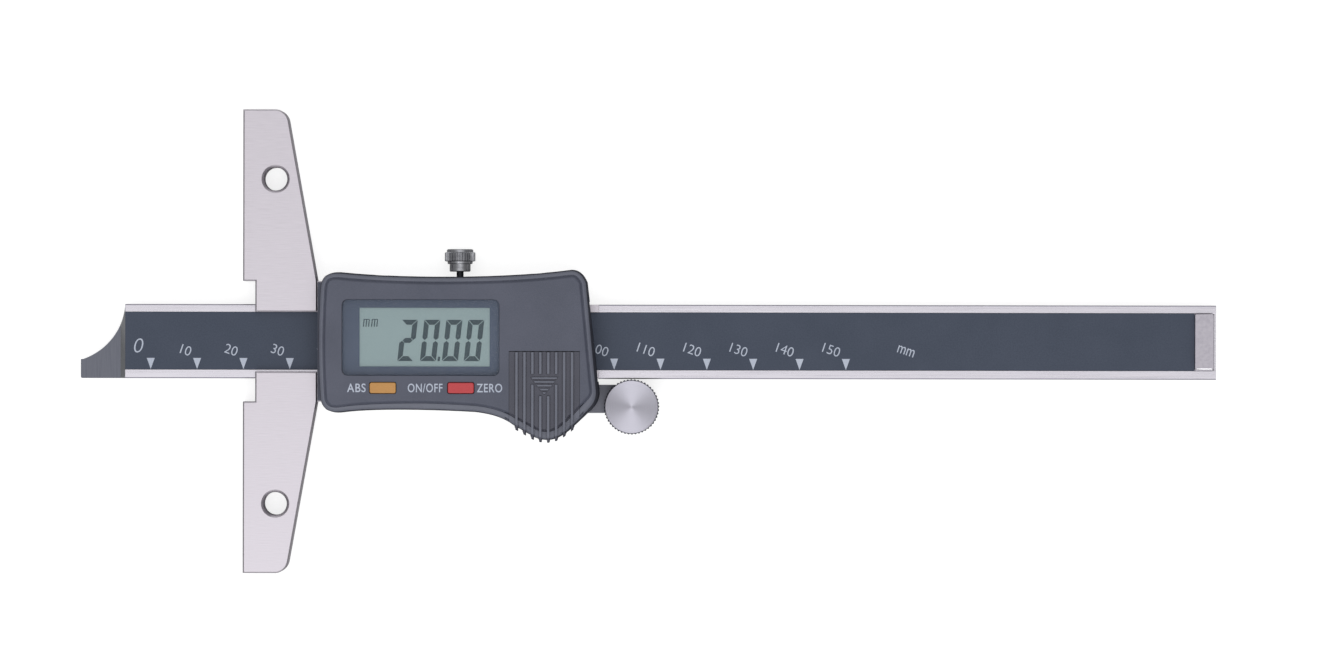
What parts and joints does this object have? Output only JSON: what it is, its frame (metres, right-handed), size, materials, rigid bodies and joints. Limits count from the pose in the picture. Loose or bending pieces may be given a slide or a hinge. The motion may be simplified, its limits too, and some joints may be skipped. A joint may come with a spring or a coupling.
{
  "type": "digital depth gauge",
  "caption": "Digital depth gauge with a steel cross base, a sliding beam with a thinned tip, a plastic display housing, a lock screw and a thumb roller.",
  "frame": {"origin": "middle of the bounding box on the surface that the gauge lies on, which is the back face of the base and slider", "axes": "+X along the beam from its tip to its end stop, +Y across the beam towards the lock screw, +Z out of the display"},
  "size_m": [0.2452, 0.1, 0.0154],
  "materials": {
    "base_steel": "finely ground along the beam, bright bevelled edges",
    "beam_steel": "ground rails, darker cross ground tip",
    "stop_steel": "ground",
    "roller_steel": "turned face, knurled rim",
    "dark_chrome": "dark plated, straight knurl",
    "screw_steel": "plated",
    "bearing_brass": "machined",
    "nickel": "nickel plated",
    "scale_film": "matte printed film with pale marks",
    "housing_plastic": "finely textured dark grey",
    "bracket_plastic": "moulded dark grey",
    "window_clear": "clear with a dark printed border",
    "lcd_glass": "pale green grey display",
    "circuit_board": "green solder mask",
    "grey_rubber": "soft",
    "orange_plastic": "satin moulded",
    "red_plastic": "satin moulded"
  },
  "bodies": {
    "frame": {"base_slider": "base_steel", "gib_strip": "bearing_brass", "gib_screw_left": "screw_steel", "gib_screw_right": "screw_steel", "housing": "housing_plastic", "housing_screw_1": "screw_steel", "housing_screw_2": "screw_steel", "housing_screw_3": "screw_steel", "housing_screw_4": "screw_steel", "display_window": "window_clear", "lcd_panel": "lcd_glass", "lcd_contact_strip_upper": "grey_rubber", "lcd_contact_strip_lower": "grey_rubber", "main_board": "circuit_board", "board_screw_left": "screw_steel", "board_screw_right": "screw_steel", "contact_mat": "grey_rubber", "battery_cell": "nickel", "battery_contact_minus": "nickel", "battery_contact_plus": "nickel", "roller_bracket": "bracket_plastic", "roller_axle": "screw_steel", "bracket_screw_1": "screw_steel", "bracket_screw_2": "screw_steel"},
    "beam": {"beam": "beam_steel", "scale_board": "circuit_board", "scale_strip": "scale_film", "end_stop": "stop_steel", "end_stop_screw_1": "screw_steel", "end_stop_screw_2": "screw_steel"},
    "roller": {"thumb_roller": "roller_steel"},
    "lock": {"lock_screw": "dark_chrome"},
    "abs_key": {"abs_button": "orange_plastic"},
    "zero_key": {"zero_button": "red_plastic"},
    "cover": {"battery_cover": "housing_plastic"}
  },
  "joints": [
    {"name": "beam_slide", "type": "slide", "parent": "frame", "child": "beam", "axis": [-1, 0, 0], "range_m": [-0.0352, 0.1287]},
    {"name": "roller_turn", "type": "hinge", "parent": "frame", "child": "roller", "pos_m": [-0.00355, -0.01405, 0.00485], "axis": [0, 0, 1], "continuous": true},
    {"name": "lock_turn", "type": "hinge", "parent": "frame", "child": "lock", "pos_m": [-0.04065, 0.015, 0.00345], "axis": [0, -1, 0], "range_deg": [-720, 240]},
    {"name": "abs_press", "type": "slide", "parent": "frame", "child": "abs_key", "axis": [0, 0, -1], "range_m": [0, 0.0004], "stiffness_N_per_m": 600},
    {"name": "zero_press", "type": "slide", "parent": "frame", "child": "zero_key", "axis": [0, 0, -1], "range_m": [0, 0.0004], "stiffness_N_per_m": 600},
    {"name": "cover_slide", "type": "slide", "parent": "frame", "child": "cover", "axis": [0, -1, 0], "range_m": [0, 0.02]}
  ],
  "couplings": [
    {"joint": "roller_turn", "follows": "beam_slide", "rad_per_m": 170.65}
  ]
}
